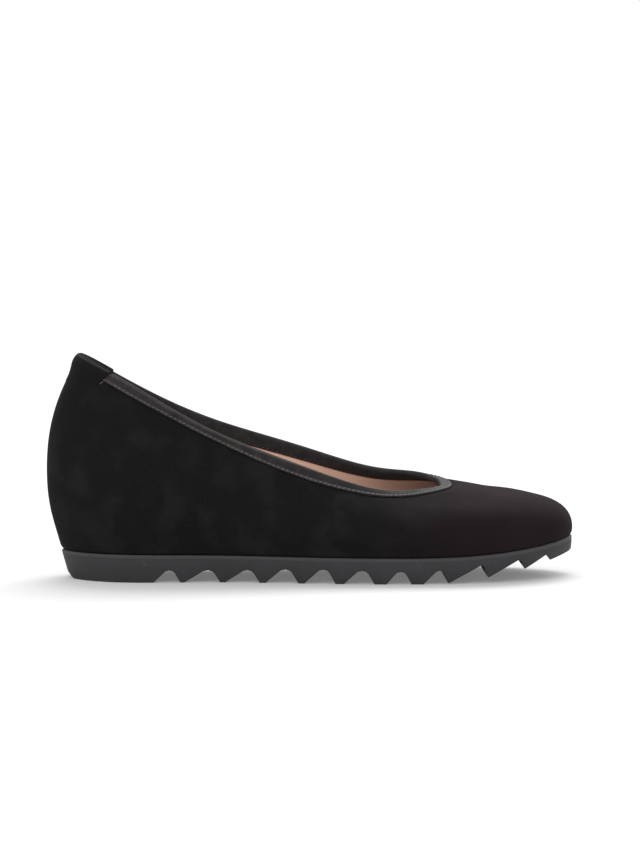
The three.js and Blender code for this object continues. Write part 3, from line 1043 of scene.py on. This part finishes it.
# %% Lay the thread's end at the corner of the tab
end_place = Vector((-101.0, -26, 96.6)) * MM
end_length = 2.4
end_width = 0.4
surface_place, surface_normal = suede_tree.find_nearest(end_place)[:2]
along_edge = Vector((0.78, 0, 0.62))
along_edge = (along_edge - surface_normal * along_edge.dot(surface_normal)).normalized()
end_size = Matrix.Diagonal((end_width * MM / 2, end_width * MM / 2, end_length * MM / 2, 1))
end_turn = along_edge.to_track_quat("Z", "Y").to_matrix().to_4x4()
end_seat = Matrix.Translation(surface_place + surface_normal * end_width * MM / 2)
end_copy = bmesh.new()
end_matrix = end_seat @ end_turn @ end_size
bmesh.ops.create_icosphere(end_copy, subdivisions=2, radius=1, matrix=end_matrix)
thread_end = piece_from(end_copy, "thread_end", "binding_leather")
print("the thread's end lies", [round(value / MM, 1) for value in surface_place], "mm")

# %% [markdown]
# Thread
# The thread is waxed polyester, twisted from three strands. On the outside it is grey, a little paler
# than the leather, and inside it is black. The loose end is a little paler than the seam.


# %% Make the threads
def thread(name, hex_value):
    material, shader, place = new_material(name)
    strands = node(
        material,
        "ShaderNodeTexWave",
        {"Vector": place, "Scale": per_metre(2.2), "Distortion": 1.0},
    )
    twist = node(
        material,
        "ShaderNodeBump",
        {"Height": strands.outputs[1], "Strength": 0.4, "Distance": 0.05 * MM},
    )
    for key, value in {"Roughness": 0.45, "IOR": 1.55, "Sheen Weight": 0.2}.items():
        shader.inputs[key].default_value = value
    shader.inputs["Base Color"].default_value = colour(hex_value)
    material.node_tree.links.new(twist.outputs[0], shader.inputs["Normal"])
    return material


outer_stitches.data.materials.append(thread("grey_waxed_thread", 0x524D4F))
thread_end.data.materials.append(thread("pale_thread_end", 0x565251))
inner_stitches.data.materials.append(thread("black_waxed_thread", 0x121112))

# %% [markdown]
# The studio
# The photograph has a white, evenly lit background and hardly any shadow: even the gaps between the
# teeth of the tread are white. Shoes are photographed like that on a sheet of white acrylic with
# light from below. So the floor glows a little, the world is white, a broad soft sun stands for
# the light overhead, and two area lights give the leather its soft reflections.

# %% Set the floor and the lights
scene = bpy.context.scene
scene.view_settings.view_transform = "Standard"

floor_copy = bmesh.new()
bmesh.ops.create_grid(floor_copy, x_segments=1, y_segments=1, size=20)
floor_mesh = bpy.data.meshes.new("floor")
floor_copy.to_mesh(floor_mesh)
floor_copy.free()
floor = bpy.data.objects.new("floor", floor_mesh)
scene.collection.objects.link(floor)
acrylic, shader, place = new_material("white_acrylic_sheet")
for name, value in {"Roughness": 0.9, "Specular IOR Level": 0.1, "Emission Strength": 0.16}.items():
    shader.inputs[name].default_value = value
shader.inputs["Base Color"].default_value = colour(0xC0C0C0)
shader.inputs["Emission Color"].default_value = (1, 1, 1, 1)
floor.data.materials.append(acrylic)

world = bpy.data.worlds.new("studio")
world.use_nodes = True
background = world.node_tree.nodes["Background"]
background.inputs["Color"].default_value = (1, 1, 1, 1)
background.inputs["Strength"].default_value = 1.0
scene.world = world


def lamp(name, kind, position, power, **settings):
    light = bpy.data.lights.new(name, kind)
    light.energy = power
    for key, value in settings.items():
        setattr(light, key, value)
    holder = bpy.data.objects.new(name, light)
    holder.location = position
    holder.rotation_euler = (aim - Vector(position)).to_track_quat("-Z", "Y").to_euler()
    scene.collection.objects.link(holder)


lamp("overhead", "SUN", (0.1, 1.2, 2.0), 2.1, angle=math.radians(35))
lamp("front_box", "AREA", (-0.7, -1.5, 0.9), 7, shape="RECTANGLE", size=0.8, size_y=0.8)
lamp("back_box", "AREA", (0.9, 1.2, 1.1), 10, shape="RECTANGLE", size=1.0, size_y=0.7)
